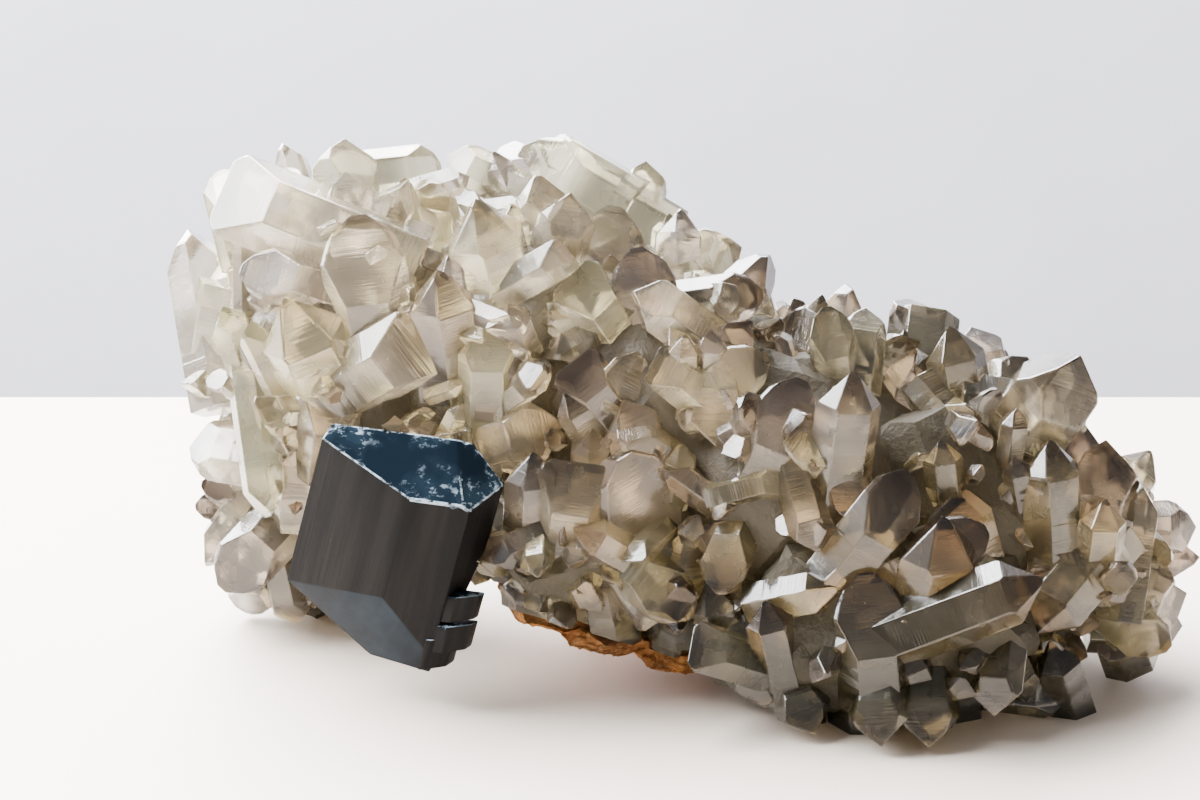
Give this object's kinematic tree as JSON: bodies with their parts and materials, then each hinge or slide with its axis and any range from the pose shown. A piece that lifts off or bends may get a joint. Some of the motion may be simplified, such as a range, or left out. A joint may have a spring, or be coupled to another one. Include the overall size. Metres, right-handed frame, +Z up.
{
  "type": "smoky quartz cluster",
  "caption": "Natural cluster of cloudy smoky quartz crystals on a thin crust of rusty rock, with a large black crystal grown into its front.",
  "frame": {"origin": "middle of the specimen's box, on the surface that it lies on", "axes": "+X along the specimen's length, to the right as seen from the front; +Y from the front to the back; +Z up"},
  "size_m": [0.1768, 0.0948, 0.0853],
  "materials": {
    "quartz": "cloudy, see-through smoky quartz with glossy faces, paler at the upper left and browner at the lower right and at the crystals' points",
    "black_crystal": "black with fine grooves along its length and a silky gloss, its end faces blue-black and chipped",
    "rusty_rock": "matt, crumbly, rust brown to orange"
  },
  "bodies": {
    "root": {"quartz_cluster": "quartz", "black_crystal": "black_crystal", "rusty_matrix": "rusty_rock"}
  },
  "joints": []
}
